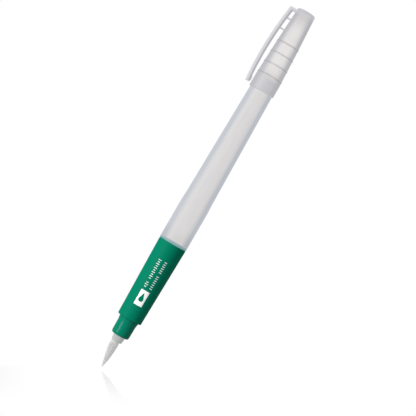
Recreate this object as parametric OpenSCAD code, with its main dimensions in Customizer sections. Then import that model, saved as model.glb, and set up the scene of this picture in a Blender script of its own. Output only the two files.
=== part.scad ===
// Refillable water-brush pen, resting with its cap posted on the barrel's tail.
// The pen's axis is +Z and the origin is the very tip of the bristles.
// The clip lies towards -Y.

/* [Brush] */
// Length of bristle that shows in front of the holder
tuft_len = 12.0; // [8:0.1:16]
// Diameter of the bristles at the holder's mouth
tuft_d = 3.24; // [2.4:0.02:4]
// Extra radius of the bristles at their belly
tuft_belly = 0.2; // [0:0.01:0.3]
// Length of bristle held inside the holder
root_len = 4.1; // [3:0.1:5]
// Length of holder that shows in front of the nose
holder_len = 2.6; // [1.6:0.1:4]
// Wall of the holder at its mouth
holder_wall = 0.48; // [0.4:0.02:0.8]
// Radius that the holder gains from its mouth to the nose
holder_draft = 0.35; // [0:0.05:0.5]
// Width of the holder's flange beyond its stem
holder_rim = 0.73; // [0.5:0.01:1]
// Thickness of the holder's flange
holder_rim_t = 1.2; // [0.8:0.1:2]

/* [Nose] */
// Length of nose that shows in front of the grip
nose_len = 7.8; // [6:0.1:12]
// Diameter of the nose's spigot, which enters the grip
nose_spigot_d = 8.4; // [8:0.1:10.1]
// Length of the spigot inside the grip
nose_spigot_len = 11.6; // [8:0.1:14]
// Radius by which the nose is slimmer than its spigot
nose_step = 0.28; // [0.1:0.02:0.6]
// Length of the rounded front edge of the nose
nose_round = 0.8; // [0.4:0.1:1.2]
// Thickness of the nose's front wall
nose_front_t = 5.4; // [4:0.1:6]

/* [Grip] */
// Length of the grip
grip_len = 34.6; // [30:0.1:42]
// Wall of the grip around the nose's spigot
grip_wall = 1.0; // [0.8:0.05:1.6]
// Radius by which the grip's rear end is set in from the barrel
grip_inset = 0.06; // [0.02:0.01:0.3]
// Radius of the passage through the grip's middle
grip_core_r = 3.4; // [2.8:0.1:3.8]

/* [Barrel] */
// Diameter of the barrel behind the grip
barrel_d = 12.0; // [11.4:0.1:14.4]
// Length of barrel between the grip and the posted cap
barrel_len = 70.4; // [56:0.1:90]
// Length of the barrel's straight front stretch
barrel_straight = 17.6; // [12:0.1:24]
// Length of the short quick taper behind it
barrel_shoulder = 4.0; // [2:0.1:8]
// Radius lost over that quick taper
barrel_shoulder_drop = 0.2; // [0.05:0.01:0.4]
// Wall of the reservoir
barrel_wall = 1.5; // [1:0.1:1.8]
// Radius by which the barrel stands out from its tail spigot
tail_step = 0.41; // [0.3:0.01:0.8]
// Length of the tail spigot that carries the posted cap
tail_len = 5.2; // [4:0.1:5.6]
// Wall of the tail spigot
tail_wall = 1.25; // [0.8:0.05:1.6]
// Distance from the grip to the reservoir's rounded bottom
reservoir_floor = 1.2; // [1:0.1:4]

/* [Neck] */
// Length of the threaded neck
neck_len = 8.0; // [7.5:0.1:9]
// Diameter of the neck at the bottom of its thread
neck_core_d = 7.8; // [7:0.1:9.4]
// Bore of the neck
neck_bore_d = 5.8; // [4.9:0.1:6.2]
// Thread pitch
pitch = 2.0; // [1.8:0.1:2.4]
// Turns of thread
turns = 3; // [2:1:3]
// Height of the neck's thread
thread_h = 0.55; // [0.4:0.05:0.7]

/* [Flow parts] */
// Depth that the flow plug enters the neck
plug_depth = 7.0; // [5:0.1:9]
// Width of the plug's flange beyond its body
plug_rim = 0.8; // [0.4:0.1:0.9]
// Thickness of the plug's flange
plug_rim_t = 0.65; // [0.5:0.05:1]
// Wall of the flow plug
plug_wall = 0.9; // [0.6:0.1:1.2]
// Diameter of the hole that meters the water
metering_d = 1.0; // [0.6:0.1:1.6]
// Thickness of the neck gasket
gasket_t = 0.85; // [0.6:0.05:1.2]
// Bore of the neck gasket
gasket_bore_d = 6.0; // [5:0.1:6.6]
// Thickness of the feed's flange
feed_flange_t = 1.4; // [1:0.1:2]
// Width of the feed's shoulder on the holder's flange
feed_seat = 0.33; // [0.2:0.01:0.6]
// Diameter of the feed's nozzle
feed_nozzle_d = 3.2; // [3:0.1:3.6]
// Diameter of the wick
wick_d = 2.36; // [1.9:0.02:2.6]
// Height of the fins on the feed
fin_h = 0.6; // [0.3:0.05:0.75]
// Thickness of one fin
fin_t = 0.6; // [0.4:0.1:0.8]
// Distance from fin to fin
fin_pitch = 1.3; // [1.1:0.1:1.6]
// Number of fins
fin_count = 8; // [4:1:8]

/* [Cap] */
// Length of the cap
cap_len = 36.6; // [32:0.1:44]
// Wall of the cap at its mouth
cap_wall = 0.83; // [0.6:0.01:1.2]
// Wall of the cap above its liner
cap_body_wall = 0.95; // [0.7:0.05:1.2]
// Thickness of the cap's top
cap_top_t = 1.2; // [0.8:0.1:2]
// Length of the cap's straight mouth band
cap_band = 5.2; // [4:0.1:6]
// Radius lost from the band to the last ring
cap_ring_drop = 0.68; // [0.3:0.02:0.9]
// Radius lost from the last ring to the top
cap_top_drop = 0.85; // [0.4:0.05:1.2]
// Radius of the top's rounded edge
cap_edge = 0.6; // [0.3:0.1:1]
// Distance from the mouth to the first ring
ring_start = 6.8; // [6:0.1:8]
// Distance from ring to ring
ring_pitch = 4.8; // [4:0.1:5]
// Number of rings
ring_count = 4; // [2:1:4]
// Height of a ring
ring_h = 0.2; // [0.1:0.05:0.4]
// Width of a ring
ring_w = 0.7; // [0.4:0.1:1]
// Wall of the liner
liner_wall = 0.5; // [0.4:0.02:0.8]
// Length of the liner
liner_len = 5.9; // [4:0.1:7]

/* [Clip] */
// Width of the clip
clip_w = 3.4; // [2.4:0.1:4.2]
// Thickness of the clip's outer plate
clip_plate_t = 1.25; // [0.8:0.05:1.6]
// Thickness of the rib behind the plate
clip_rib_t = 0.65; // [0.4:0.05:0.9]
// Width of that rib
clip_rib_w = 1.8; // [1:0.1:2.4]
// Gap between the cap and the clip at its foot
clip_foot_gap = 0.67; // [0.6:0.01:1]
// Gap between the cap and the clip at its head
clip_head_gap = 1.1; // [0.8:0.1:2]
// Outward bow of the clip between foot and head
clip_bow = 1.05; // [0.6:0.05:1.6]
// Height of the clip's foot above the cap's mouth
clip_foot_up = 1.2; // [0.6:0.1:3]
// Distance of the clip's head below the cap's top
clip_head_down = 1.1; // [0.8:0.1:2]
// Thickness of the web that joins the clip's head to the cap
clip_web_t = 1.1; // [0.8:0.1:1.6]
// Distance from the cap's mouth to the lower rung
rung_up = 26.0; // [20:0.1:27]
// Distance from rung to rung
rung_pitch = 4.8; // [3:0.1:5.5]
// Thickness of a rung
rung_t = 0.5; // [0.4:0.1:1]
// Height of the bead inside the clip's foot
bead_h = 0.3; // [0.1:0.05:0.4]
// Length of that bead
bead_len = 2.4; // [1.6:0.1:3]

/* [Fits] */
// Radial clearance of pieces that are pushed together
push_gap = 0.02; // [0.01:0.01:0.04]
// Radial clearance of the posted cap
slide_gap = 0.05; // [0.02:0.01:0.1]
// Gap between end faces of pieces that move apart
face_gap = 0.05; // [0.03:0.01:0.1]
// Gap around the ball where the bristles bend
tuft_gap = 0.1; // [0.08:0.01:0.2]
// Clearance between the nose and the cap's liner
liner_gap = 0.08; // [0.04:0.01:0.2]
// Gap between the crests and the bottoms of the two threads
thread_gap = 0.2; // [0.1:0.05:0.3]

/* [Hidden] */
$fn = 96;
eps = 0.01;

// Stations along the axis, from the bristle tip
z_holder = tuft_len;
z_nose = z_holder + holder_len;
z_grip = z_nose + nose_len;
z_barrel = z_grip + grip_len;
z_mouth = z_barrel + barrel_len;
z_tail = z_mouth + tail_len;
z_top = z_mouth + cap_len;
z_neck = z_barrel - neck_len;
z_rim = z_nose + nose_front_t;
z_feed = z_rim + holder_rim_t;
z_spigot = z_grip + nose_spigot_len;
z_gasket = z_neck - plug_rim_t - face_gap - gasket_t;
z_flange = z_gasket - face_gap - feed_flange_t;

// Bristles and their holder
tip_r = 0.05;
waist = 1.2;
fullness = 1.65;
bore_r = tuft_d / 2 + tuft_gap;
mouth_chamfer = holder_wall / 2;
holder_r = bore_r + holder_wall;
stem_r = holder_r + holder_draft;
rim_r = stem_r + holder_rim;
butt_step = 0.35;
butt_bore_r = bore_r + butt_step;
butt_t = 1.0;
z_butt = z_holder + tuft_d / 2 + 2 * tuft_gap + root_len + butt_step;
z_nozzle = z_butt + butt_t;

// Nose
spigot_r = nose_spigot_d / 2;
nose_r = spigot_r - nose_step;
nose_bore_r = rim_r + push_gap;
nose_flare = 2.0;
nose_draft = 0.08;
nose_lip = 0.2;

// Grip and thread
grip_front_r = spigot_r + push_gap + grip_wall;
grip_rear_r = barrel_d / 2 - grip_inset;
core_r = neck_core_d / 2;
crest_r = core_r + thread_h;
grip_thread_r = crest_r + thread_gap;
thread_lead_in = 0.6;
neck_ridge_w = [0.55, 0.25];
grip_ridge_w = [0.35, 0.15];
ridge_root = 0.15;
z_thread = z_neck + thread_lead_in + neck_ridge_w[0];
edge = 0.25;

// Flow parts
plug_r = neck_bore_d / 2 - push_gap;
feed_stem_r = butt_bore_r + feed_seat;
gasket_gap = 0.1;

// Cap and the tail spigot that it fits
liner_bore_r = nose_r + liner_gap;
liner_r = liner_bore_r + liner_wall;
cap_seat_r = liner_r + push_gap;
seat_ledge = 0.08;
cap_bore_r = cap_seat_r + seat_ledge;
cap_mouth_r = cap_bore_r + cap_wall;
cap_ring_r = cap_mouth_r - cap_ring_drop;
cap_top_r = cap_ring_r - cap_top_drop;
tail_r = cap_bore_r - slide_gap;
barrel_tail_r = tail_r + tail_step;
z_last_ring = z_mouth + ring_start + (ring_count - 1) * ring_pitch;
z_liner = z_tail + 2 * face_gap;
z_liner_top = z_liner + liner_len;
z_roof = z_top - cap_top_t;

// Radius of the cap's outside above its mouth band
function cap_r(z) = z < z_last_ring
    ? cap_mouth_r - cap_ring_drop * (z - z_mouth - cap_band) / (z_last_ring - z_mouth - cap_band)
    : cap_ring_r - cap_top_drop * (z - z_last_ring) / (z_top - z_last_ring);

// Clip: its outer face is an arc through the foot, the bowed middle and the head
clip_t = clip_plate_t + clip_rib_t;
z_foot = z_mouth + clip_foot_up;
z_head = z_top - clip_head_down;
foot_u = cap_mouth_r + clip_foot_gap + clip_t;
head_u = cap_top_r + clip_head_gap + clip_t;
chord = norm([head_u - foot_u, z_head - z_foot]);
bow_r = (chord * chord / 4 + clip_bow * clip_bow) / (2 * clip_bow);
bow_lean = atan2(foot_u - head_u, z_head - z_foot);
bow_u = (foot_u + head_u) / 2 - (bow_r - clip_bow) * cos(bow_lean);
bow_z = (z_foot + z_head) / 2 - (bow_r - clip_bow) * sin(bow_lean);
z_rung = z_mouth + rung_up;
z_split = z_rung - rung_t;

// A turned solid from a list of [radius, height] points
module turned(points) rotate_extrude() polygon(points);

// A tube between two heights
module tube(r_out, r_in, z0, z1) translate([0, 0, z0]) difference() {
    cylinder(r = r_out, h = z1 - z0);
    translate([0, 0, -eps]) cylinder(r = r_in, h = z1 - z0 + 2 * eps);
}

// A helical ridge. root and crest are [radius, half width] of its foot and its top.
module ridge(root, crest, z0, steps = 30) {
    n = turns * steps;
    ring = [[root[0], -root[1]], [crest[0], -crest[1]], [crest[0], crest[1]], [root[0], root[1]]];
    points = [for (i = [0:n], p = ring)
        [p[0] * cos(360 * i / steps), p[0] * sin(360 * i / steps), z0 + p[1] + pitch * i / steps]];
    sides = [for (i = [0:n - 1], k = [0:3])
        [4 * i + k, 4 * i + (k + 1) % 4, 4 * i + 4 + (k + 1) % 4, 4 * i + 4 + k]];
    flip = crest[0] < root[0];
    faces = concat([[3, 2, 1, 0]], [for (f = sides) [f[0], f[1], f[2]]],
                   [for (f = sides) [f[0], f[2], f[3]]], [[for (k = [0:3]) 4 * n + k]]);
    polyhedron(points, flip ? [for (f = faces) [for (k = [len(f) - 1:-1:0]) f[k]]] : faces);
}

// Bristles: a fine point, a belly, and a ball that turns in the holder's mouth
module bristle_tuft() color("gainsboro") {
    ball_r = tuft_d / 2;
    belly_r = ball_r + tuft_belly;
    belly_z = z_holder - waist;
    steps = 10;
    outline = [for (i = [0:steps]) let (t = i / steps)
        [tip_r + (belly_r - tip_r) * (1 - pow(1 - t, fullness)), belly_z * t]];
    turned(concat([[0, 0]], outline, [[ball_r, z_holder], [0, z_holder]]));
    translate([0, 0, z_holder]) sphere(r = ball_r);
}

// The bound root of the bristles and its melted head
module tuft_butt() color("silver") {
    z0 = z_butt - root_len;
    translate([0, 0, z0]) cylinder(r = bore_r - push_gap, h = root_len);
    translate([0, 0, z_butt]) cylinder(r = butt_bore_r - push_gap, h = butt_t);
}

// Translucent holder that grips the bristles' root
module brush_holder() color("whitesmoke") difference() {
    turned([[0, z_holder], [holder_r, z_holder], [stem_r, z_nose], [stem_r, z_rim],
            [rim_r, z_rim], [rim_r, z_feed], [0, z_feed]]);
    turned([[0, z_holder - eps], [bore_r + mouth_chamfer + eps, z_holder - eps],
            [bore_r, z_holder + mouth_chamfer], [bore_r, z_butt], [butt_bore_r, z_butt],
            [butt_bore_r, z_feed + eps], [0, z_feed + eps]]);
}

// Glossy nose with the spigot that enters the grip
module nose() color("seagreen") difference() {
    turned([[0, z_nose], [stem_r + nose_lip, z_nose], [nose_r - nose_round / 2, z_nose + nose_round / 4],
            [nose_r - nose_draft, z_nose + nose_round], [nose_r, z_grip - nose_flare],
            [spigot_r, z_grip], [spigot_r, z_spigot - edge], [spigot_r - edge, z_spigot], [0, z_spigot]]);
    translate([0, 0, z_nose - eps]) cylinder(r = stem_r + push_gap, h = nose_front_t + 2 * eps);
    translate([0, 0, z_rim]) cylinder(r = nose_bore_r, h = z_spigot - z_rim + eps);
}

// Matt grip: nose socket in front, threaded socket behind
module grip() color("green") {
    difference() {
        turned([[0, z_grip], [grip_front_r - edge, z_grip], [grip_front_r, z_grip + edge],
                [grip_rear_r, z_barrel - face_gap], [0, z_barrel - face_gap]]);
        translate([0, 0, z_grip - eps]) cylinder(r = spigot_r + push_gap, h = nose_spigot_len + eps);
        cylinder(r = grip_core_r, h = z_barrel);
        translate([0, 0, z_flange]) cylinder(r = grip_thread_r, h = z_barrel - z_flange);
    }
    ridge([grip_thread_r + ridge_root, grip_ridge_w[0]], [core_r + thread_gap, grip_ridge_w[1]],
          z_thread - pitch / 2);
}

// Feed: flange, finned stem and the nozzle that reaches the bristles' root
module feed() color("white") difference() {
    union() {
        translate([0, 0, z_nozzle]) cylinder(r = feed_nozzle_d / 2, h = z_feed - z_nozzle + eps);
        translate([0, 0, z_feed]) cylinder(r = feed_stem_r, h = z_flange - z_feed + eps);
        translate([0, 0, z_flange]) cylinder(r = grip_thread_r - push_gap, h = feed_flange_t);
        for (i = [1:fin_count])
            translate([0, 0, z_feed + i * fin_pitch]) cylinder(r = feed_stem_r + fin_h, h = fin_t);
    }
    cylinder(r = wick_d / 2 + push_gap, h = z_barrel);
}

// Fibre wick from the gasket to the bristles' root
module feed_wick() color("ivory") {
    translate([0, 0, z_nozzle]) cylinder(r = wick_d / 2, h = z_gasket + gasket_t / 2 - z_nozzle);
}

// Soft ring that seals the neck against the feed
module neck_gasket() color("dimgray")
    tube(grip_thread_r - gasket_gap, gasket_bore_d / 2, z_gasket, z_gasket + gasket_t);

// Plug in the neck, with the small hole that meters the water
module flow_plug() color("white") difference() {
    union() {
        translate([0, 0, z_neck - plug_rim_t]) cylinder(r = plug_r + plug_rim, h = plug_rim_t);
        translate([0, 0, z_neck - eps]) cylinder(r = plug_r, h = plug_depth + eps);
    }
    translate([0, 0, z_neck - plug_rim_t - eps]) cylinder(d = metering_d, h = plug_depth);
    translate([0, 0, z_neck + plug_wall]) cylinder(r = plug_r - plug_wall, h = plug_depth);
}

// Squeezable barrel: threaded neck, reservoir and the spigot for the posted cap
module barrel() color("lightgray") {
    z_taper = z_barrel + barrel_straight;
    taper_r = barrel_d / 2 - barrel_shoulder_drop;
    neck_r = neck_bore_d / 2;
    inner_r = barrel_d / 2 - barrel_wall;
    floor_r = inner_r - neck_r;
    z_floor = z_barrel + reservoir_floor + floor_r;
    z_step = z_mouth - face_gap;
    difference() {
        turned([[0, z_neck], [core_r - edge, z_neck], [core_r, z_neck + edge], [core_r, z_barrel],
                [barrel_d / 2 - edge, z_barrel], [barrel_d / 2, z_barrel + edge], [barrel_d / 2, z_taper],
                [taper_r, z_taper + barrel_shoulder], [barrel_tail_r, z_step], [tail_r, z_step],
                [tail_r, z_tail - edge], [tail_r - edge, z_tail], [0, z_tail]]);
        translate([0, 0, z_neck - eps]) cylinder(r = neck_r, h = z_floor - z_neck + 2 * eps);
        translate([0, 0, z_floor]) rotate_extrude() intersection() {
            translate([neck_r, 0]) circle(r = floor_r);
            translate([0, -floor_r]) square([inner_r, floor_r + eps]);
        }
        turned([[0, z_floor], [inner_r, z_floor], [inner_r, z_taper],
                [taper_r - barrel_wall, z_taper + barrel_shoulder],
                [barrel_tail_r - barrel_wall, z_step - tail_len], [tail_r - tail_wall, z_step],
                [tail_r - tail_wall, z_tail - tail_wall], [0, z_tail - tail_wall]]);
    }
    ridge([core_r - ridge_root, neck_ridge_w[0]], [crest_r, neck_ridge_w[1]], z_thread);
}

// Soft liner that seals on the nose when the cap covers the brush
module cap_liner() color("white") tube(liner_r, liner_bore_r, z_liner, z_liner_top);

// The space inside the cap
module cap_hollow() turned([
    [0, z_mouth - eps], [cap_bore_r, z_mouth - eps], [cap_bore_r, z_liner], [cap_seat_r, z_liner],
    [cap_seat_r, z_liner_top], [cap_r(z_liner_top) - cap_body_wall, z_liner_top],
    [cap_ring_r - cap_body_wall, z_last_ring], [cap_r(z_roof) - cap_body_wall, z_roof], [0, z_roof]]);

// The outside of the cap, with its rings
module cap_outside() {
    z_band = z_mouth + cap_band;
    rotate_extrude() {
        polygon([[0, z_mouth], [cap_mouth_r, z_mouth], [cap_mouth_r, z_band], [cap_ring_r, z_last_ring],
                 [cap_top_r, z_top - cap_edge], [cap_top_r - cap_edge / 3, z_top - cap_edge / 3],
                 [cap_top_r - cap_edge, z_top], [0, z_top]]);
        for (i = [0:ring_count - 1]) let (z = z_mouth + ring_start + i * ring_pitch)
            polygon([[cap_r(z) - 0.3, z - ring_w / 2], [cap_r(z) + ring_h, z - ring_w / 6],
                     [cap_r(z) + ring_h, z + ring_w / 6], [cap_r(z) - 0.3, z + ring_w / 2]]);
    }
}

// Part of the bowed clip between two heights: from depth0 to depth1 below its outer face
module clip_strip(width, depth0, depth1, z0, z1)
    rotate([90, 0, -90]) linear_extrude(width, center = true) intersection() {
        difference() {
            translate([bow_u, bow_z]) circle(r = bow_r - depth0, $fn = 720);
            translate([bow_u, bow_z]) circle(r = bow_r - depth1, $fn = 720);
        }
        translate([cap_top_r, z0]) square([foot_u, z1 - z0]);
    }

// Distance from the axis to the clip's outer face
function clip_u(z) = bow_u + sqrt(bow_r * bow_r - pow(z - bow_z, 2));

module clip_length(z0, z1) {
    clip_strip(clip_w, 0, clip_plate_t, z0, z1);
    clip_strip(clip_rib_w, clip_plate_t - eps, clip_t, z0, z1);
}

// Cap with the head of the clip, its web and its rungs
module cap_shell() color("lightgray") difference() {
    union() {
        cap_outside();
        clip_length(z_split + face_gap, z_head);
        translate([-clip_w / 2, -clip_u(z_head) + clip_plate_t / 2, z_head - clip_web_t])
            cube([clip_w, clip_u(z_head) - clip_plate_t / 2, clip_web_t]);
        for (i = [0:1]) let (z = z_rung + i * rung_pitch)
            translate([-clip_rib_w / 2, -clip_u(z) + clip_plate_t, z - rung_t / 2])
                cube([clip_rib_w, clip_u(z) - clip_plate_t - cap_r(z) + cap_body_wall, rung_t]);
    }
    cap_hollow();
}

// The springy free length of the clip, with the bead that holds a pocket
module clip_arm() color("gainsboro") {
    z_bead = z_foot + bead_len / 2 + edge;
    bead_r = (bead_len * bead_len / 4 + bead_h * bead_h) / (2 * bead_h);
    clip_length(z_foot, z_split);
    rotate([90, 0, -90]) linear_extrude(clip_rib_w, center = true) intersection() {
        translate([clip_u(z_bead) - clip_t - bead_h + bead_r, z_bead]) circle(r = bead_r, $fn = 360);
        translate([clip_u(z_bead) - clip_t - bead_h, z_foot])
            square([bead_h + clip_rib_t / 2, z_split - z_foot]);
    }
}

bristle_tuft();
tuft_butt();
brush_holder();
nose();
grip();
feed();
feed_wick();
neck_gasket();
flow_plug();
barrel();
cap_liner();
cap_shell();
clip_arm();
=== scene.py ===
"""A refillable brush pen with its cap posted on the tail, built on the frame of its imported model.

Sizes are in millimetres. Meshes, node trees and the stage are in metres.
"""
import math

import bmesh
import bpy
from mathutils import Matrix, Vector


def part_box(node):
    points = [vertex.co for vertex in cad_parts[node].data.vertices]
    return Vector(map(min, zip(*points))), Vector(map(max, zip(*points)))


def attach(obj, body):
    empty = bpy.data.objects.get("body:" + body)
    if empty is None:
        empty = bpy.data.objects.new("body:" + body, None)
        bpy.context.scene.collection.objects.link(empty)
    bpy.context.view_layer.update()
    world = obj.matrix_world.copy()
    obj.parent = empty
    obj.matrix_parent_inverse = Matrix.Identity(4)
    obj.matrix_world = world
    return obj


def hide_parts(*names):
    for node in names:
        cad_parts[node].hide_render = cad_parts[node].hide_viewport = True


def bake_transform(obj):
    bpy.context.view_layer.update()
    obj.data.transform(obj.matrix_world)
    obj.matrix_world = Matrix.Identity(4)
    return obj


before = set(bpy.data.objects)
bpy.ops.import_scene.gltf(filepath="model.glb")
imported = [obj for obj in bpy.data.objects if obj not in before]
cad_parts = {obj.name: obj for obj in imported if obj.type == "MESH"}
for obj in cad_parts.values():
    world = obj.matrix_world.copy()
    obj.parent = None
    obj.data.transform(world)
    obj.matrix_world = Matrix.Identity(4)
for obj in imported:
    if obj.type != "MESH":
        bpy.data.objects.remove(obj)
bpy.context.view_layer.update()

MM = 0.001
TURN = 2 * math.pi


# ---------------------------------------------------------------- sizes, in millimetres

def low(node, axis=2):
    """The low side of a node's box, along z unless told otherwise."""
    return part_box(node)[0][axis] / MM


def high(node, axis=2):
    """The high side of a node's box, along z unless told otherwise."""
    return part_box(node)[1][axis] / MM


FACE_GAP = 0.05             # Between the end faces of two pieces
RADIAL_GAP = 0.02           # Between a bore and what sits in it

# Heights along the pen
HOLDER_Z = low("brush_holder")
NOSE_Z = low("nose")
FLANGE_Z = NOSE_Z + 5.4     # The holder's flange rests on a step in the nose
FLANGE_T = 1.2
GRIP_Z = low("grip")
NECK_Z = low("barrel")
CORE_Z = low("neck_gasket") - FACE_GAP - 1.4
BARREL_Z = high("grip") + FACE_GAP
FLOOR_Z = BARREL_Z + 1.2
STRAIGHT_Z = BARREL_Z + 17.6
SHOULDER_Z = BARREL_Z + 21.6
MOUTH_Z = low("cap_shell")
STEP_Z = MOUTH_Z - FACE_GAP
TAIL_Z = high("barrel")
LINER_Z = low("cap_liner")
LINER_TOP_Z = high("cap_liner")
TOP_Z = high("cap_shell")
ROOF_Z = TOP_Z - 1.2
SPIGOT_Z = high("nose")
FOOT_Z = low("clip_arm")

# The tuft is widest this far in front of its holder, and its outline is a power curve from the tip
TUFT_WAIST = 1.2
TUFT_FULLNESS = 1.65

# Radii
BARREL_R = high("barrel", 0)
BARREL_WALL = 1.5
SPIGOT_R = high("nose", 0)
NOSE_R = SPIGOT_R - 0.28
NOSE_FRONT_R = 3.86
FLANGE_R = high("brush_holder", 0)
STEM_R = FLANGE_R - 0.73
HOLDER_R = STEM_R - 0.35
MOUTH_R = HOLDER_R - 0.48
TUFT_ROOT_R = 1.54
BELLY_R = high("bristle_tuft", 0)
GRIP_FRONT_R = SPIGOT_R + 1.02
GRIP_REAR_R = high("grip", 0)
GRIP_BORE_R = 3.4
THREAD_BORE_R = high("feed", 0) + RADIAL_GAP
CORE_R = 3.9
CREST_R = 4.45
NECK_BORE_R = 2.9
LINER_R = high("cap_liner", 0)
LINER_WALL = 0.5
CAP_BORE_R = LINER_R + 0.1
CAP_MOUTH_R = CAP_BORE_R + 0.83
TAIL_R = CAP_BORE_R - 0.05
TAIL_BORE_R = 3.3
TAIL_WALL = 1.25
BARREL_TAIL_R = TAIL_R + 0.41
CAP_RING_DROP = 0.68
CAP_TOP_DROP = 0.85
CAP_RING_R = CAP_MOUTH_R - CAP_RING_DROP
CAP_TOP_R = CAP_RING_R - CAP_TOP_DROP
CAP_WALL = 0.95

# Thread and rings
PITCH = 2.0
THREAD_TURNS = 3
RING_Z = MOUTH_Z + 6.8
RING_PITCH = 4.8
RING_COUNT = 4
LAST_RING_Z = RING_Z + (RING_COUNT - 1) * RING_PITCH
BAND_Z = MOUTH_Z + 5.2

# Clip
CLIP_W = 3.4
CLIP_RIB_W = 1.8
CLIP_PLATE_T = 1.25
CLIP_T = CLIP_PLATE_T + 0.65
CLIP_WEB_T = 1.1
CLIP_HEAD_Z = TOP_Z - 1.1
CLIP_BOW = 1.05
BEAD_LEN, BEAD_H = 2.4, 0.3
BEAD_Z = FOOT_Z + BEAD_LEN / 2 + 0.25
RUNG_Z = (MOUTH_Z + 26.0, MOUTH_Z + 30.8)
RUNG_T = 0.5
FOOT_U = CAP_MOUTH_R + 0.67 + CLIP_T
HEAD_U = CAP_TOP_R + 1.1 + CLIP_T
CHORD = math.hypot(HEAD_U - FOOT_U, CLIP_HEAD_Z - FOOT_Z)
BOW_R = (CHORD ** 2 / 4 + CLIP_BOW ** 2) / (2 * CLIP_BOW)
BOW_LEAN = math.atan2(FOOT_U - HEAD_U, CLIP_HEAD_Z - FOOT_Z)
BOW_U = (FOOT_U + HEAD_U) / 2 - (BOW_R - CLIP_BOW) * math.cos(BOW_LEAN)
BOW_Z = (FOOT_Z + CLIP_HEAD_Z) / 2 - (BOW_R - CLIP_BOW) * math.sin(BOW_LEAN)


def cap_r(z):
    """Radius of the cap's outside above its mouth band."""
    if z < LAST_RING_Z:
        return CAP_MOUTH_R - CAP_RING_DROP * (z - BAND_Z) / (LAST_RING_Z - BAND_Z)
    return CAP_RING_R - CAP_TOP_DROP * (z - LAST_RING_Z) / (TOP_Z - LAST_RING_Z)


# ---------------------------------------------------------------- node trees

class Wire:
    """A socket in a node tree. Sums on wires add the Math nodes that work them out."""

    def __init__(self, tree, socket=None):
        self.tree = tree
        self.socket = socket

    def node(self, kind, settings=None, values=None, out=0):
        """Adds a node with its settings, then its values or links, and gives one of its outputs.

        A node without outputs is given back itself.
        """
        made = self.tree.nodes.new(kind)
        for name, value in (settings or {}).items():
            setattr(made, name, value)
        for key, value in (values or {}).items():
            if isinstance(value, Wire):
                self.tree.links.new(value.socket, made.inputs[key])
            else:
                made.inputs[key].default_value = value
        return Wire(self.tree, made.outputs[out]) if len(made.outputs) else made

    def maths(self, operation, *values):
        """A Math node on the given values, or on this wire alone."""
        values = dict(enumerate(values or (self,)))
        return self.node("ShaderNodeMath", {"operation": operation}, values)

    def __add__(self, other):
        return self.maths("ADD", self, other)

    def __radd__(self, other):
        return self.maths("ADD", other, self)

    def __sub__(self, other):
        return self.maths("SUBTRACT", self, other)

    def __rsub__(self, other):
        return self.maths("SUBTRACT", other, self)

    def __mul__(self, other):
        return self.maths("MULTIPLY", self, other)

    def __rmul__(self, other):
        return self.maths("MULTIPLY", other, self)

    def __truediv__(self, other):
        return self.maths("DIVIDE", self, other)

    def __pow__(self, other):
        return self.maths("POWER", self, other)

    def step(self, start, end):
        """0 before start and 1 past end, smooth between them."""
        values = {"Value": self, "From Min": start, "From Max": end}
        return self.node("ShaderNodeMapRange", {"interpolation_type": "SMOOTHSTEP"}, values)

    def parts(self):
        """The x, y and z of a vector."""
        split = self.node("ShaderNodeSeparateXYZ", None, {0: self})
        return [Wire(self.tree, part) for part in split.socket.node.outputs]


def near(value, centre, half, soft):
    """1 where value is within half of centre, with edges soft wide."""
    return 1 - (value - centre).maths("ABSOLUTE").step(half - soft, half + soft)


# ---------------------------------------------------------------- materials

def mix_colours(amount, first, second):
    """The first colour where amount is 0, the second where it is 1, and past it where it is more."""
    settings = {"data_type": "RGBA", "clamp_factor": False}
    return amount.node("ShaderNodeMix", settings, {0: amount, 6: first, 7: second}, 2)


def noise(place, scale, detail=2.0):
    values = {"Vector": place, "Scale": scale, "Detail": detail}
    return place.node("ShaderNodeTexNoise", None, values)


def bump(height, strength, distance):
    values = {"Strength": strength, "Distance": distance, "Height": height}
    return height.node("ShaderNodeBump", None, values)


def stretched(place, x, y, z):
    return place.node("ShaderNodeMapping", None, {"Vector": place, "Scale": (x, y, z)})


def facing(place):
    """0 where a surface is met square on, and 1 at a grazing angle."""
    return place.node("ShaderNodeLayerWeight", None, {"Blend": 0.5}, "Facing")


def finish(name, **values):
    """A material with one Principled shader, and a wire for its Object coordinates."""
    made = bpy.data.materials.new(name)
    made.use_nodes = True
    shader = made.node_tree.nodes["Principled BSDF"]
    for key, value in values.items():
        shader.inputs[key.replace("_", " ")].default_value = value
    return made, shader, Wire(made.node_tree).node("ShaderNodeTexCoord", out="Object")


def feed(shader, **wires):
    """Links wires to the shader's sockets of those names."""
    for key, wire in wires.items():
        wire.tree.links.new(wire.socket, shader.inputs[key.replace("_", " ")])


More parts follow.
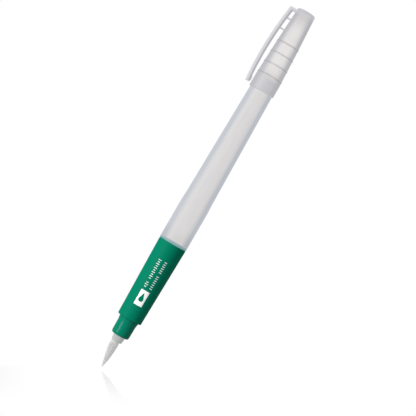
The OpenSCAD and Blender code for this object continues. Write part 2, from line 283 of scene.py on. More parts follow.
def milky(name, tint, glow, clear, roughness=0.34, clear_to=0.08, edge=0.97, painted_grip_bounce=False, rib=1.0,
          regions=()):
    """Translucent polypropylene: milkiness drawn out along the pen, and a fine satin grain.

    The glow is painted light, an emission that stands for light that the plastic scatters through itself,
    and clear is the share that passes straight through it. As in milky glass, less passes where the
    wall is met at a slant: the wall is clear up to clear_to, and edge is how solid it gets. rib is the
    glow left in the middle of the clip, which paints the clip's rib darker. A region is (start height,
    end height, share of the glow left past its end), which paints the glow lighter or darker there.
    """
    made, shader, place = finish(name, Specular_IOR_Level=0.05, Emission_Strength=1.0)
    x, _, z = place.parts()
    across, height = x.maths("ABSOLUTE") / MM, z / MM
    flow = noise(stretched(place, 1, 1, 0.2), 600, 3)
    grain = noise(place, 6000)
    slant = facing(place).step(clear_to, 0.4)
    solid_share = (1 - clear) + (flow - 0.5) * (0.2 * clear)
    left = 1.04 - flow * 0.08
    for start, end, share in regions:
        left = left * (1 - height.step(start, end) * (1 - share))
    # Painted shade: the clip's rib keeps only part of the glow in its middle, so it shows darker
    if rib < 1:
        left = left * (rib + (1 - rib) * across.step(CLIP_RIB_W / 2 + 0.1, CLIP_RIB_W / 2 + 0.5))
    shine = mix_colours(left, (0, 0, 0, 1), glow + (1,))
    if painted_grip_bounce:
        # Painted green light: the barrel's front edge glows with the green that the grip it meets bounces
        # into it, and is made more solid there
        grip_bounce = height.step(BARREL_Z - 0.2, BARREL_Z - 0.1)
        grip_bounce = grip_bounce * (1 - height.step(BARREL_Z + 0.5, BARREL_Z + 1.3))
        shine = mix_colours(grip_bounce, shine, (0.14, 0.31, 0.32, 1))
        solid_share = solid_share + grip_bounce * (0.95 - solid_share)
    shade = tuple(0.85 * part for part in tint)
    feed(shader, Base_Color=mix_colours(flow, tint + (1,), shade + (1,)),
         Emission_Color=shine, Alpha=solid_share + (edge - solid_share) * slant,
         Roughness=roughness + grain * 0.1, Normal=bump(grain, 0.15, 0.00002))
    return made


def drop_mask(across, along, foot, radius, reach, soft):
    """A water drop: a round end about foot, and a point that narrows from there over reach."""
    point = radius - (along - foot) * (radius / reach)
    bulb = along.maths("MAXIMUM", radius ** 2 - (along - foot) ** 2, 0) ** 0.5
    ahead = (along - foot).step(-0.01, 0.01)
    half = ahead * point + (1 - ahead) * bulb
    return (half - across.maths("ABSOLUTE")).step(-soft, soft)


def printed_grip():
    """Satin green polypropylene with a printed patch, a water drop left open in it, and rows of bars."""
    made, shader, place = finish("grip_satin_green", Specular_IOR_Level=0.02)
    x, y, z = place.parts()
    print_r = 5.35
    soft = 0.06
    along = z * (1 / MM)
    around = x.maths("ARCTAN2", y, x) * print_r
    across = around - 0.1
    patch = near(across, 0, 1.8, soft) * near(along, 32.4, 3.3, soft)
    drop = drop_mask(across, along, 31.9, 1.05, 3.0, soft)
    # Bars at an even pitch. In the first row every other bar is taller, and each row has one space
    pitch = 0.92
    bars = near((along / pitch).maths("FRACT"), 0.5, 0.17, 0.05)
    tall = 0.42 + 0.2 * (along / (2 * pitch)).maths("FRACT").step(0.45, 0.55)
    first = near(around, -1.02, tall, soft) * near(along, 43.1, 6.2, soft)
    first = first * (1 - near(along, 39.9, 0.5, soft))
    second = near(around, 1.42, 0.5, soft) * near(along, 43.2, 6.4, soft)
    second = second * (1 - near(along, 43.6, 0.45, soft))
    ink = patch * (1 - drop) + bars * (first + second) * 0.8
    ink = ink.maths("MINIMUM", ink, 1)
    mottle = noise(place, 1500)
    grain = noise(place, 7000, 3)
    green = mix_colours(mottle, (0.0, 0.154, 0.088, 1), (0.0, 0.169, 0.097, 1))
    feed(shader, Base_Color=mix_colours(ink, green, (0.86, 0.88, 0.86, 1)),
         Roughness=0.48 + mottle * 0.08 - ink * 0.1, Normal=bump(grain, 0.25, 0.00003))
    return made


def glossy_nose():
    """Glossy green polypropylene, with a faint flow in it."""
    made, shader, place = finish("nose_gloss_green", Specular_IOR_Level=0.03,
                                 Coat_Weight=0.09, Coat_Roughness=0.2)
    flow = noise(stretched(place, 1, 1, 0.3), 700)
    feed(shader, Base_Color=mix_colours(flow, (0.0, 0.155, 0.094, 1), (0.0, 0.17, 0.102, 1)),
         Roughness=0.24 + flow * 0.08, Normal=bump(flow, 0.02, 0.00005))
    return made


def nylon_bristle():
    """White nylon, streaked along the strands, with a painted glow for the little light passing through
    it.
    """
    made, shader, place = finish("bristle_nylon", Specular_IOR_Level=0.3, Emission_Strength=1.0)
    streak = noise(stretched(place, 1, 1, 0.06), 9000)
    feed(shader, Base_Color=mix_colours(streak, (0.27, 0.27, 0.266, 1), (0.33, 0.33, 0.325, 1)),
         Emission_Color=mix_colours(streak, (0.25, 0.25, 0.247, 1), (0.31, 0.31, 0.305, 1)),
         Roughness=0.4 + streak * 0.2)
    return made


def moulded(name, first, second, roughness, scale=1200):
    """A plain moulded or pressed part, mottled between two colours, with a fine grain."""
    made, shader, place = finish(name)
    mottle = noise(place, scale)
    grain = noise(place, 8000)
    feed(shader, Base_Color=mix_colours(mottle, first, second),
         Roughness=roughness + mottle * 0.08, Normal=bump(grain, 0.2, 0.00002))
    return made


# ---------------------------------------------------------------- meshes

def rounded(corners, steps=6):
    """Points along an open line. A corner is (radius, height) or (radius, height, fillet)."""
    points = []
    for i, (r, z, *fillet) in enumerate(corners):
        here = Vector((r, z))
        if not fillet or not 0 < i < len(corners) - 1:
            points.append(here)
            continue
        before = Vector(corners[i - 1][:2]) - here
        after = Vector(corners[i + 1][:2]) - here
        half = before.angle(after) / 2
        reach = min(fillet[0] / math.tan(half), 0.49 * before.length, 0.49 * after.length)
        start = here + before.normalized() * reach
        middle = (before.normalized() + after.normalized()).normalized()
        centre = here + middle * reach / math.cos(half)
        first = start - centre
        last = here + after.normalized() * reach - centre
        spread = math.copysign(math.pi - 2 * half, first.x * last.y - first.y * last.x)
        for k in range(steps + 1):
            cos, sin = math.cos(spread * k / steps), math.sin(spread * k / steps)
            points.append(centre + Vector((first.x * cos - first.y * sin, first.x * sin + first.y * cos)))
    return points


def guarded(points, guard=0.06, longest=4.0):
    """The same line with short stretches at the ends of its long ones, so that shading stays true."""
    made = []
    for a, b in zip(points, points[1:]):
        made.append(a)
        length = (b - a).length
        if length > 4 * guard:
            inner = math.ceil(length / longest)
            shares = [guard / length] + [k / inner for k in range(1, inner)] + [1 - guard / length]
            made += [a.lerp(b, share) for share in shares]
    return made + points[-1:]


def solid(name, mesh, materials):
    """An object from a bmesh, with its normals outward and its hard edges kept."""
    bmesh.ops.remove_doubles(mesh, verts=mesh.verts, dist=1e-8)
    bmesh.ops.recalc_face_normals(mesh, faces=mesh.faces)
    for face in mesh.faces:
        face.smooth = True
    data = bpy.data.meshes.new(name)
    mesh.to_mesh(data)
    mesh.free()
    data.set_sharp_from_angle(angle=math.radians(40))
    for material in materials:
        data.materials.append(material)
    made = bpy.data.objects.new(name, data)
    bpy.context.scene.collection.objects.link(made)
    return made


def turned(name, *runs, segments=144):
    """A turned piece. Each run is (material, corners), and the runs follow one another round its section.

    A corner on the axis closes the piece with a pole.
    """
    rings, owners = [], []
    mesh = bmesh.new()
    angles = [TURN * k / segments for k in range(segments)]
    circle = [(math.cos(angle), math.sin(angle)) for angle in angles]
    for index, (_, corners) in enumerate(runs):
        for r, z in guarded(rounded(corners)):
            if r < 1e-6:
                rings.append([mesh.verts.new((0, 0, z * MM))] * segments)
            else:
                rings.append([mesh.verts.new((r * c * MM, r * s * MM, z * MM)) for c, s in circle])
            owners.append(index)
    for ring, other, index in zip(rings, rings[1:] + rings[:1], owners):
        for k in range(segments):
            j = (k + 1) % segments
            corners = list(dict.fromkeys((ring[k], ring[j], other[j], other[k])))
            if len(corners) > 2:
                mesh.faces.new(corners).material_index = index
    return solid(name, mesh, [material for material, _ in runs])


def hang(piece, body, slot, *nodes):
    """A finished piece rides on its body, and stands for its CAD nodes."""
    if nodes:
        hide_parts(*nodes)
    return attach(piece, body)


# ---------------------------------------------------------------- geometry trees

def tree(name, **inputs):
    """A new geometry tree with named number inputs, and their wires."""
    made = bpy.data.node_groups.new(name, "GeometryNodeTree")
    made.interface.new_socket("Geometry", in_out="OUTPUT", socket_type="NodeSocketGeometry")
    for key, value in inputs.items():
        kind = "NodeSocketInt" if isinstance(value, int) else "NodeSocketFloat"
        made.interface.new_socket(key, in_out="INPUT", socket_type=kind)
    group = made.nodes.new("NodeGroupInput")
    return made, [Wire(made, group.outputs[key]) for key in inputs]


def grown(name, made, inputs, material, result):
    """The plain mesh that a tree makes with these inputs."""
    final = result.node("GeometryNodeRealizeInstances", None, {0: result})
    final = final.node("GeometryNodeSetMaterial", None, {"Geometry": final, "Material": material})
    out = made.nodes.new("NodeGroupOutput")
    made.links.new(final.socket, out.inputs[0])
    holder = bpy.data.objects.new(name + "_rule", bpy.data.meshes.new(name + "_rule"))
    bpy.context.scene.collection.objects.link(holder)
    modifier = holder.modifiers.new("rule", "NODES")
    modifier.node_group = made
    for item in made.interface.items_tree:
        if item.in_out == "INPUT":
            modifier[item.identifier] = inputs[item.name]
    evaluated = holder.evaluated_get(bpy.context.evaluated_depsgraph_get())
    data = bpy.data.meshes.new_from_object(evaluated)
    data.name = name
    holder.modifiers.remove(modifier)
    bpy.data.objects.remove(holder)
    mesh = bmesh.new()
    mesh.from_mesh(data)
    bpy.data.meshes.remove(data)
    return solid(name, mesh, [material])


def thread(name, material, root, crest, start):
    """A helical ridge from height start: a four-cornered profile carried up a spiral.

    root and crest are (radius, half width).
    """
    inputs = {"Radius": root[0] * MM, "Depth": (crest[0] - root[0]) * MM, "Foot": root[1] * MM,
              "Crest": crest[1] * MM, "Pitch": PITCH * MM, "Start": start * MM, "Turns": THREAD_TURNS}
    made, (radius, depth, foot, top, pitch, start_z, turns) = tree(name + "_tree", **inputs)
    spiral = radius.node("GeometryNodeCurveSpiral", None, {
        "Resolution": 72, "Rotations": turns, "Start Radius": radius, "End Radius": radius,
        "Height": pitch * turns})
    spiral = spiral.node("GeometryNodeSetCurveNormal", {"mode": "Z_UP"}, {"Curve": spiral})

    def corner(across, along):
        return radius.node("ShaderNodeCombineXYZ", None, {"X": across, "Y": along})

    # The profile's x points towards the axis
    corners = {"Point 1": corner(0.0, foot * -1), "Point 2": corner(depth * -1, top * -1),
               "Point 3": corner(depth * -1, top), "Point 4": corner(0.0, foot)}
    profile = radius.node("GeometryNodeCurvePrimitiveQuadrilateral", {"mode": "POINTS"}, corners)
    ridge = radius.node("GeometryNodeCurveToMesh", None, {
        "Curve": spiral, "Profile Curve": profile, "Fill Caps": True})
    lift = radius.node("ShaderNodeCombineXYZ", None, {"Z": start_z})
    ridge = radius.node("GeometryNodeTransform", None, {"Geometry": ridge, "Translation": lift})
    return grown(name, made, inputs, material, ridge)


def fibres(name, material):
    """The bristles: fine tapering strands on an even disc, drawn together towards the point."""
    inputs = {"Count": 420, "Points": 18, "Radius": TUFT_ROOT_R * MM, "Belly": (BELLY_R - 0.06) * MM,
              "Root": (HOLDER_Z + 3.0) * MM, "Waist": (HOLDER_Z - TUFT_WAIST) * MM, "Strand": 0.085 * MM,
              "Ragged": 0.055, "Sway": 0.34 * MM, "Seed": 7}
    made, wires = tree(name + "_tree", **inputs)
    count, points, radius, belly, root, waist, strand, ragged, sway, seed = wires
    disc = count.node("GeometryNodeMeshLine", None, {"Count": count, "Offset": (0, 0, 0.001)})
    line = count.node("GeometryNodeCurvePrimitiveLine")
    line = count.node("GeometryNodeResampleCurve", None, {"Curve": line, "Count": points})
    strands = count.node("GeometryNodeInstanceOnPoints", None, {"Points": disc, "Instance": line})
    strands = count.node("GeometryNodeRealizeInstances", None, {0: strands})
    index = count.node("GeometryNodeInputIndex")
    which = (index / points).maths("FLOOR")
    share = (index - which * points) / (points - 1)

    def chance(low_end, high_end, offset):
        values = {2: low_end, 3: high_end, "ID": which, "Seed": seed + offset}
        return count.node("FunctionNodeRandomValue", {"data_type": "FLOAT"}, values, 1)

    out = ((which + 0.5) / count) ** 0.5
    golden_angle = TURN * (1 - (math.sqrt(5) - 1) / 2)
    angle = which * golden_angle + chance(-0.25, 0.25, 0)
    # share 0 is a strand's free end: short strands stop a little way up the point
    first = chance(0.0, 1.0, 1) ** 3 * ragged + out ** 2 * 0.02
    height = first * waist + share * (root - first * waist)
    up = (height / waist).maths("MINIMUM", height / waist, 1)
    fullness = 1 - (1 - up) ** TUFT_FULLNESS
    settle = height.step(waist, waist + 0.0012)
    spread = (belly * fullness) * (1 - settle) + radius * settle
    ripple = 1 + (height * 2600 + chance(0.0, 6.28, 2)).maths("SINE") * 0.012
    at = out * spread * ripple
    # The bristles fall out over one side of the holder's lip
    lean = sway * height.step(root * 0.18, waist) * (1 - height.step(waist + 0.0003, waist + 0.0016))
    place = count.node("ShaderNodeCombineXYZ", None, {
        "X": at * angle.maths("COSINE"), "Y": at * angle.maths("SINE") - lean, "Z": height})
    strands = count.node("GeometryNodeSetPosition", None, {"Geometry": strands, "Position": place})
    thick = strand * (0.3 + 0.7 * (share * 2.2).maths("MINIMUM", share * 2.2, 1))
    ring = count.node("GeometryNodeCurvePrimitiveCircle", {"mode": "RADIUS"}, {
        "Resolution": 5, "Radius": 1.0})
    strands = count.node("GeometryNodeCurveToMesh", None, {
        "Curve": strands, "Profile Curve": ring, "Scale": thick, "Fill Caps": True})
    return grown(name, made, inputs, material, strands)


def rings(name, material):
    """The cap's fine rings: D-shaped beads at an even pitch, each on the cap's own radius there."""
    inputs = {"Count": RING_COUNT, "Pitch": RING_PITCH * MM, "First": RING_Z * MM, "Height": 0.28 * MM,
              "Width": 0.7 * MM, "Foot radius": CAP_MOUTH_R * MM, "Drop": CAP_RING_DROP * MM,
              "Foot": BAND_Z * MM, "Last": LAST_RING_Z * MM, "Sunk": 0.08 * MM}
    made, wires = tree(name + "_tree", **inputs)
    count, pitch, first, height, width, foot_r, drop, foot, last, sunk = wires
    step = count.node("ShaderNodeCombineXYZ", None, {"Z": pitch})
    start = count.node("ShaderNodeCombineXYZ", None, {"Z": first})
    places = count.node("GeometryNodeMeshLine", None, {
        "Count": count, "Start Location": start, "Offset": step})
    at = first + count.node("GeometryNodeInputIndex") * pitch
    r = foot_r - drop * (at - foot) / (last - foot) - sunk
    size = count.node("ShaderNodeCombineXYZ", None, {"X": r, "Y": r, "Z": 1.0})
    circle = count.node("GeometryNodeCurvePrimitiveCircle", {"mode": "RADIUS"}, {
        "Resolution": 144, "Radius": 1.0})
    loops = count.node("GeometryNodeInstanceOnPoints", None, {
        "Points": places, "Instance": circle, "Scale": size})
    loops = count.node("GeometryNodeRealizeInstances", None, {0: loops})
    loops = count.node("GeometryNodeSetCurveNormal", {"mode": "Z_UP"}, {"Curve": loops})
    # The section's back lies just under the cap's skin
    bow = (width * width / 4 + height * height) / (height * 2)
    sweep = 2 * (width / 2 / bow).maths("ARCSINE")
    arc = count.node("GeometryNodeCurveArc", {"mode": "RADIUS"}, {
        "Resolution": 9, "Radius": bow, "Start Angle": sweep * -0.5, "Sweep Angle": sweep})
    shift = count.node("ShaderNodeCombineXYZ", None, {"X": height - bow})
    arc = count.node("GeometryNodeTransform", None, {"Geometry": arc, "Translation": shift})
    arc = count.node("GeometryNodeSetSplineCyclic", None, {"Geometry": arc, "Cyclic": True})
    beads = count.node("GeometryNodeCurveToMesh", None, {"Curve": loops, "Profile Curve": arc})
    return grown(name, made, inputs, material, beads)


# ---------------------------------------------------------------- the clip

def clip_u(z):
    """Distance of the clip's outer face in front of the axis."""
    return BOW_U + math.sqrt(BOW_R ** 2 - (z - BOW_Z) ** 2)


def round_loop(corners, steps=4):
    """A closed outline from (x, depth, fillet) corners."""
    points = []
    count = len(corners)
    for i in range(count):
        trio = [corners[i - 1][:2], corners[i], corners[(i + 1) % count][:2]]
        points += rounded(trio, steps)[1:-1]
    return points


def clip_mesh(name, material):
    """One moulding: plate and rib with softened corners, a bead at the foot, a web and rungs."""
    mesh = bmesh.new()

    def section(z, lift, shrink):
        """The clip's outline at one height, its rib raised by lift and its corners drawn in by shrink."""
        half, rib = CLIP_W / 2 - shrink, CLIP_RIB_W / 2 - shrink
        plate, deep = CLIP_PLATE_T - shrink, CLIP_T + lift - shrink
        soft = min(0.3, (plate - shrink) / 2.2)
        corners = [(-half, shrink, soft), (half, shrink, soft), (half, plate, soft),
                   (rib, plate, 0.12), (rib, deep, 0.25), (-rib, deep, 0.25),
                   (-rib, plate, 0.12), (-half, plate, soft)]
        return [(x, -(clip_u(z) - depth), z) for x, depth in round_loop(corners)]

    def loft(stations):
        """A closed skin over a row of outlines."""
        loops = [[mesh.verts.new(Vector(p) * MM) for p in points] for points in stations]
        for one, two in zip(loops, loops[1:]):
            for k in range(len(one)):
                j = (k + 1) % len(one)
                mesh.faces.new((one[k], one[j], two[j], two[k]))
        mesh.faces.new(loops[0])
        mesh.faces.new(loops[-1])

    edge, round_steps, span_steps = 0.35, 6, 72
    quarter = [math.pi / 2 * k / round_steps for k in range(round_steps + 1)]
    heights = [(FOOT_Z + edge * (1 - math.cos(a)), edge * (1 - math.sin(a))) for a in quarter]
    span = CLIP_HEAD_Z - FOOT_Z - 2 * edge
    heights += [(FOOT_Z + edge + span * k / span_steps, 0) for k in range(1, span_steps)]
    heights += [(CLIP_HEAD_Z - edge * (1 - math.cos(a)), edge * (1 - math.sin(a)))
                for a in reversed(quarter)]
    stations = []
    for z, shrink in heights:
        reach = abs(z - BEAD_Z) / (BEAD_LEN / 2)
        lift = BEAD_H * (1 - reach ** 2) if reach < 1 else 0
        stations.append(section(z, lift, shrink))
    loft(stations)

    def bar(half, z0, z1, y0, y1, soft):
        """A soft-edged bar that joins the clip to the cap."""
        loop = round_loop([(-half, z0, soft), (half, z0, soft), (half, z1, soft), (-half, z1, soft)], 3)
        loft([[(x, y, z) for x, z in loop] for y in (y0, y1)])

    web_end = -clip_u(CLIP_HEAD_Z) + 0.7
    bar(CLIP_W / 2 - 0.05, CLIP_HEAD_Z - CLIP_WEB_T, CLIP_HEAD_Z - 0.02, web_end, -1.0, 0.2)
    for z in RUNG_Z:
        outer, inner = -clip_u(z) + CLIP_PLATE_T + 0.2, -cap_r(z) + 0.4
        bar(CLIP_RIB_W / 2 - 0.02, z - RUNG_T / 2, z + RUNG_T / 2, outer, inner, 0.12)
    return solid(name, mesh, [material])


# ---------------------------------------------------------------- finishes

# The painted glow is weaker near the reservoir's floor and towards the cap's mouth and top, a painted
# shade where the wall is thicker or the light comes through two walls, and stronger in the cap's solid
# roof
wall = milky("barrel_milky", (0.085, 0.088, 0.094), (0.44, 0.462, 0.5), 0.4, painted_grip_bounce=True,
             regions=[(BARREL_Z + 8, BARREL_Z + 2, 0.87)])
# The reservoir's bore and the cap's inside are painted with a bright warm glow: light seen inside the pen
# through its wall
bore = milky("barrel_bore", (0.02, 0.02, 0.02), (0.92, 0.85, 0.78), 0.0, 0.6)
cap_skin = milky("cap_milky", (0.065, 0.065, 0.07), (0.415, 0.415, 0.435), 0.55, clear_to=0.0,
                 regions=[(TOP_Z - 3.5, TOP_Z - 1, 1.16)])
cap_inside = milky("cap_inside", (0.02, 0.02, 0.02), (1.04, 1.0, 0.965), 0.2, 0.6, clear_to=0.0,
                   regions=[(TOP_Z - 10, TOP_Z - 1, 0.64), (RING_Z + 3.3, RING_Z - 2.2, 0.74)])
cap_seat = milky("cap_seat", (0.32, 0.32, 0.33), (0.5, 0.5, 0.52), 0.1, 0.5)
ring_skin = milky("ring_milky", (0.085, 0.085, 0.09), (0.33, 0.33, 0.35), 0.75, edge=0.6)
clip_skin = milky("clip_milky", (0.24, 0.24, 0.25), (0.42, 0.42, 0.44), 0.1, rib=0.78)
holder_skin = milky("holder_milky", (0.2, 0.205, 0.2), (0.275, 0.285, 0.275), 0.25, 0.2)
grip_green = printed_grip()
nose_green = glossy_nose()
bristles = nylon_bristle()
white_part = moulded("part_white", (0.8, 0.8, 0.78, 1), (0.72, 0.72, 0.71, 1), 0.4)
fibre_part = moulded("wick_fibre", (0.78, 0.76, 0.7, 1), (0.62, 0.6, 0.55, 1), 0.9, 4000)
rubber_part = moulded("gasket_rubber", (0.05, 0.05, 0.055, 1), (0.08, 0.08, 0.085, 1), 0.7)

# ---------------------------------------------------------------- pieces

# Barrel: threaded neck, reservoir with a rounded floor, and the tail spigot
CAVITY_R = BARREL_R - BARREL_WALL
LONG_FILLET = 12.0
barrel = turned(
    "barrel_body",
    (wall, [(0, TAIL_Z), (TAIL_R, TAIL_Z, 0.3), (TAIL_R, STEP_Z, 0.05), (BARREL_TAIL_R, STEP_Z, 0.25),
            (BARREL_R - 0.2, SHOULDER_Z, LONG_FILLET), (BARREL_R, STRAIGHT_Z, LONG_FILLET),
            (BARREL_R, BARREL_Z, 0.3), (CORE_R, BARREL_Z, 0.1), (CORE_R, NECK_Z, 0.3),
            (NECK_BORE_R, NECK_Z)]),
    (wall, [(NECK_BORE_R, NECK_Z), (NECK_BORE_R, FLOOR_Z)]),
    (bore, [(NECK_BORE_R, FLOOR_Z), (CAVITY_R, FLOOR_Z, 1.6), (CAVITY_R, STRAIGHT_Z, LONG_FILLET),
            (CAVITY_R - 0.2, SHOULDER_Z, LONG_FILLET), (TAIL_BORE_R + 0.16, MOUTH_Z - 5.2, 5.0),
            (TAIL_BORE_R, STEP_Z, 2.0), (TAIL_BORE_R, TAIL_Z - TAIL_WALL, 0.4), (0, TAIL_Z - TAIL_WALL)]))
hang(barrel, "barrel_body", "barrel_clear", "barrel")
neck_thread = thread("neck_thread", wall, (CORE_R - 0.15, 0.55), (CREST_R, 0.25), NECK_Z + 1.15)
hang(neck_thread, "barrel_body", "barrel_clear")

# Grip: nose socket, core and threaded socket
SOCKET_R, GRIP_END_Z = SPIGOT_R + RADIAL_GAP, BARREL_Z - FACE_GAP
grip = turned(
    "grip_body",
    (grip_green, [(SOCKET_R, GRIP_Z), (GRIP_FRONT_R, GRIP_Z, 0.3), (GRIP_REAR_R, GRIP_END_Z, 0.3),
                  (THREAD_BORE_R, GRIP_END_Z, 0.15), (THREAD_BORE_R, CORE_Z), (GRIP_BORE_R, CORE_Z),
                  (GRIP_BORE_R, SPIGOT_Z), (SOCKET_R, SPIGOT_Z)]))
hang(grip, "section", "grip_green", "grip")
grip_thread = thread("grip_thread", grip_green, (THREAD_BORE_R + 0.15, 0.35), (CORE_R + 0.2, 0.15),
                     NECK_Z + 0.15)
hang(grip_thread, "section", "grip_green")

# Nose: rounded front, a slight flare into the grip, and the spigot
STEM_BORE_R = STEM_R + RADIAL_GAP
NOSE_BORE_R = SPIGOT_R - 0.9
nose = turned(
    "nose_body",
    (nose_green, [(STEM_BORE_R, NOSE_Z), (STEM_R + 0.2, NOSE_Z, 0.1),
                  (NOSE_FRONT_R - 0.31, NOSE_Z + 0.12, 0.35), (NOSE_FRONT_R, NOSE_Z + 1.0, 0.8),
                  (NOSE_R, GRIP_Z - 2.0, 3.0), (SPIGOT_R, GRIP_Z - 0.1, 1.0), (SPIGOT_R, SPIGOT_Z, 0.25),
                  (NOSE_BORE_R, SPIGOT_Z), (NOSE_BORE_R, FLANGE_Z), (STEM_BORE_R, FLANGE_Z)]))
hang(nose, "section", "nose_green", "nose")

# Translucent holder round the root of the bristles
BUTT_SEAT_Z = low("tuft_butt") + 4.1
BUTT_SEAT_R = MOUTH_R + 0.35
holder = turned(
    "holder_sleeve",
    (holder_skin, [(MOUTH_R + 0.12, HOLDER_Z, 0.1), (HOLDER_R, HOLDER_Z, 0.18), (STEM_R, NOSE_Z, 0.6),
                   (STEM_R, FLANGE_Z), (FLANGE_R, FLANGE_Z, 0.15), (FLANGE_R, FLANGE_Z + FLANGE_T, 0.15),
                   (BUTT_SEAT_R, FLANGE_Z + FLANGE_T), (BUTT_SEAT_R, BUTT_SEAT_Z),
                   (MOUTH_R, BUTT_SEAT_Z), (MOUTH_R, HOLDER_Z + 0.3, 0.2)]))
hang(holder, "section", "holder_clear", "brush_holder")

# Bristles: a soft core with single strands laid over it
CORE_TIP_Z, CORE_SHARE, CORE_STEPS = 0.25, 0.86, 14
core_line = [(0.0, CORE_TIP_Z)]
for k in range(CORE_STEPS):
    up_share = (k + 1) / CORE_STEPS
    full = BELLY_R * (1 - (1 - up_share) ** TUFT_FULLNESS)
    core_line.append((CORE_SHARE * full, CORE_TIP_Z + (HOLDER_Z - TUFT_WAIST - CORE_TIP_Z) * up_share))
core_line += [(1.5, HOLDER_Z + 2.6), (0, HOLDER_Z + 2.6)]
tuft_core = turned("tuft_core", (bristles, core_line), segments=48)
for vertex in tuft_core.data.vertices:
    # The core leans with the strands over one side of the holder's lip
    reach = abs(vertex.co.z / MM - HOLDER_Z + TUFT_WAIST + 0.2)
    vertex.co.y -= 0.3 * MM * max(0.0, 1 - reach / 4) ** 1.5
tuft = fibres("tuft_strands", bristles)
for piece in (tuft_core, tuft):
    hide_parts("bristle_tuft")
    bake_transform(piece)

# Cap: mouth band, tapering body with its rings, and a slightly domed top
SEAT_R = CAP_BORE_R - 0.08
cap = turned(
    "cap_body",
    (cap_skin, [(0, TOP_Z), (CAP_TOP_R * 0.5, TOP_Z - 0.03, 4.0), (CAP_TOP_R, TOP_Z - 0.12, 0.6),
                (CAP_RING_R, LAST_RING_Z, 4.0), (CAP_MOUTH_R, BAND_Z, 1.5), (CAP_MOUTH_R, MOUTH_Z, 0.25),
                (CAP_BORE_R, MOUTH_Z)]),
    (cap_seat, [(CAP_BORE_R, MOUTH_Z), (CAP_BORE_R, LINER_Z)]),
    (cap_inside, [(CAP_BORE_R, LINER_Z), (SEAT_R, LINER_Z, 0.05), (SEAT_R, LINER_TOP_Z, 0.05),
                  (cap_r(LINER_TOP_Z) - CAP_WALL, LINER_TOP_Z, 0.1),
                  (CAP_RING_R - CAP_WALL, LAST_RING_Z, 3.0), (cap_r(ROOF_Z) - CAP_WALL, ROOF_Z, 0.5),
                  (0, ROOF_Z)]))
hang(cap, "cap", "cap_clear", "cap_shell")
hang(rings("cap_rings", ring_skin), "cap", "cap_clear")
LINER_BORE_R = LINER_R - LINER_WALL
liner = turned("liner_sleeve", (white_part, [
    (LINER_BORE_R, LINER_Z, 0.1), (LINER_R, LINER_Z, 0.1), (LINER_R, LINER_TOP_Z, 0.1),
    (LINER_BORE_R, LINER_TOP_Z, 0.1), (LINER_BORE_R, LINER_Z + 1)]), segments=96)
hang(liner, "cap", "liner_white", "cap_liner")

clip = clip_mesh("clip_moulding", clip_skin)
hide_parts("clip_arm")
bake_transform(clip)

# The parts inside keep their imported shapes
for node, material in {"tuft_butt": bristles, "feed": white_part, "feed_wick": fibre_part,
                       "neck_gasket": rubber_part, "flow_plug": white_part}.items():
    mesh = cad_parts[node].data
    mesh.materials.clear()
    mesh.materials.append(material)

# ---------------------------------------------------------------- stage

# The pen stands upright in its own frame, so the floor and the camera lean in its place
LEAN = math.radians(30.1)
up = Vector((0, -math.sin(LEAN), math.cos(LEAN)))
side = Vector((0, math.cos(LEAN), math.sin(LEAN)))


def stage_floor():
    """A floor that only shows as a faint reflection in front of the tip."""
    made, shader, place = finish("floor_pale")
    made.node_tree.nodes.remove(shader)
    mesh = bmesh.new()
    bmesh.ops.create_grid(mesh, x_segments=1, y_segments=1, size=0.25)
    floor = solid("floor", mesh, [made])
    centre = -0.7 * MM * up
    for vertex in floor.data.vertices:
        vertex.co = centre + Vector((vertex.co.x, 0, 0)) + side * vertex.co.y
    x, y, _ = place.parts()
    fade = (1 - x.step(0.02, 0.11)) * (1 - (x * -1).step(0.0, 0.02)) * (1 - y.step(0.01, 0.04))
    sheen = place.node("ShaderNodeFresnel", None, {"IOR": 1.35})
    # It fades out along its own plane, where it would show as a line, and from below
    sheen = sheen * (1 - facing(place).step(0.94, 0.97))
    sheen = sheen * (1 - place.node("ShaderNodeNewGeometry", out="Backfacing"))
    clear = place.node("ShaderNodeBsdfTransparent")
    mirror = place.node("ShaderNodeBsdfGlossy", None, {"Roughness": 0.03, "Color": (1, 1, 1, 1)})
    both = place.node("ShaderNodeMixShader", None, {0: fade * sheen * 0.6, 1: clear, 2: mirror})
    end = made.node_tree.nodes["Material Output"]
    made.node_tree.links.new(both.socket, end.inputs["Surface"])


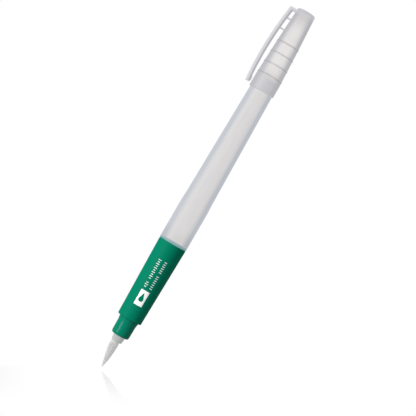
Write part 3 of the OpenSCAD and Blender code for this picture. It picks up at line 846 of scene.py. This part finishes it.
def lamp(name, place, target, size, power):
    """A soft oval lamp. size is (width, height)."""
    data = bpy.data.lights.new(name, "AREA")
    data.shape, data.energy = "ELLIPSE", power
    data.size, data.size_y = size
    made = bpy.data.objects.new(name, data)
    made.location = place
    made.rotation_euler = (Vector(target) - Vector(place)).to_track_quat("-Z", "Y").to_euler()
    bpy.context.scene.collection.objects.link(made)
    return made


def studio_world():
    """Pale air that lights the pen evenly, and looks white to the camera."""
    world = bpy.data.worlds.new("studio")
    bpy.context.scene.world = world
    world.use_nodes = True
    air = Wire(world.node_tree)
    seen = air.node("ShaderNodeBackground", None, {"Color": (1, 1, 1, 1), "Strength": 1.0})
    lit = air.node("ShaderNodeBackground", None, {"Color": (0.97, 0.98, 1, 1), "Strength": 0.47})
    # A white card far behind the pen, for the floor to mirror
    card_way = (Vector((-1, 0, 0)) + 0.11 * up).normalized()
    card = air.node("ShaderNodeTexCoord", out="Generated")
    card = card.node("ShaderNodeVectorMath", {"operation": "DOT_PRODUCT"}, {0: card, 1: card_way}, 1)
    white = air.node("ShaderNodeLightPath", out="Is Camera Ray") + card.step(0.985, 0.993)
    white = white.maths("MINIMUM", white, 1)
    both = air.node("ShaderNodeMixShader", None, {0: white, 1: lit, 2: seen})
    world.node_tree.links.new(both.socket, world.node_tree.nodes["World Output"].inputs["Surface"])


def front_camera():
    """A long lens square to the printed side of the pen, rolled so that the pen leans."""
    camera = bpy.data.cameras.new("camera")
    camera.sensor_width, camera.lens = 36, 125.5
    camera.clip_start, camera.clip_end = 0.01, 10
    eye = bpy.data.objects.new("camera", camera)
    eye.location = (0.58, 0.005, 0.0765)
    forward = Vector((-1, 0, 0))
    right = forward.cross(up)
    eye.rotation_euler = Matrix([[right[i], up[i], -forward[i]] for i in range(3)]).to_euler()
    bpy.context.scene.collection.objects.link(eye)
    bpy.context.scene.camera = eye


stage_floor()
lamp("key_left", (0.283, -0.337, 0.07), (0, 0, 0.07), (0.16, 0.36), 2.5)
# A weak lamp for the back, which the floor doesn't mirror
lamp("fill_back", (-0.42, 0.03, 0.18), (0, 0, 0.08), (0.3, 0.3), 1.1).visible_glossy = False
studio_world()
front_camera()
bpy.context.scene.view_settings.view_transform = "Standard"
